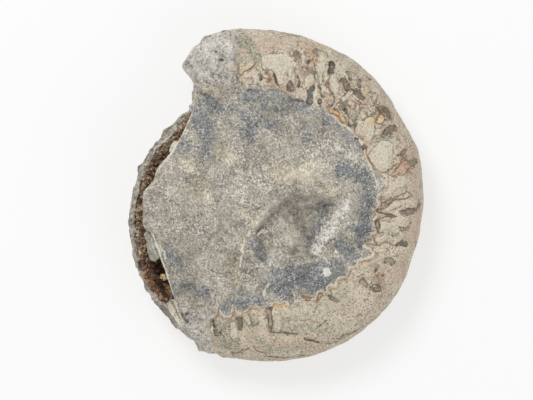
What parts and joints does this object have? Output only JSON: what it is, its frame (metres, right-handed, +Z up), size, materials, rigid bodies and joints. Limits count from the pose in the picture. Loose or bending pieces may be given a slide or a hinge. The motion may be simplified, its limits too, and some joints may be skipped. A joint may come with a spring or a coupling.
{
  "type": "ammonite fossil",
  "caption": "Coiled ammonite fossil in limestone, lying on its side, with a broken outer wall and crystals in the channel behind it.",
  "frame": {"origin": "middle of the underside, on the plane the fossil rests on", "axes": "+Z up out of the flank that is seen, +Y towards the broken end of the coil, +X to the right of it"},
  "size_m": [0.141, 0.1602, 0.0398],
  "materials": {
    "limestone": "matt grey-tan limestone, rough to the touch, worn smoother round the venter"
  },
  "bodies": {
    "root": {"ammonite": "limestone"}
  },
  "joints": []
}
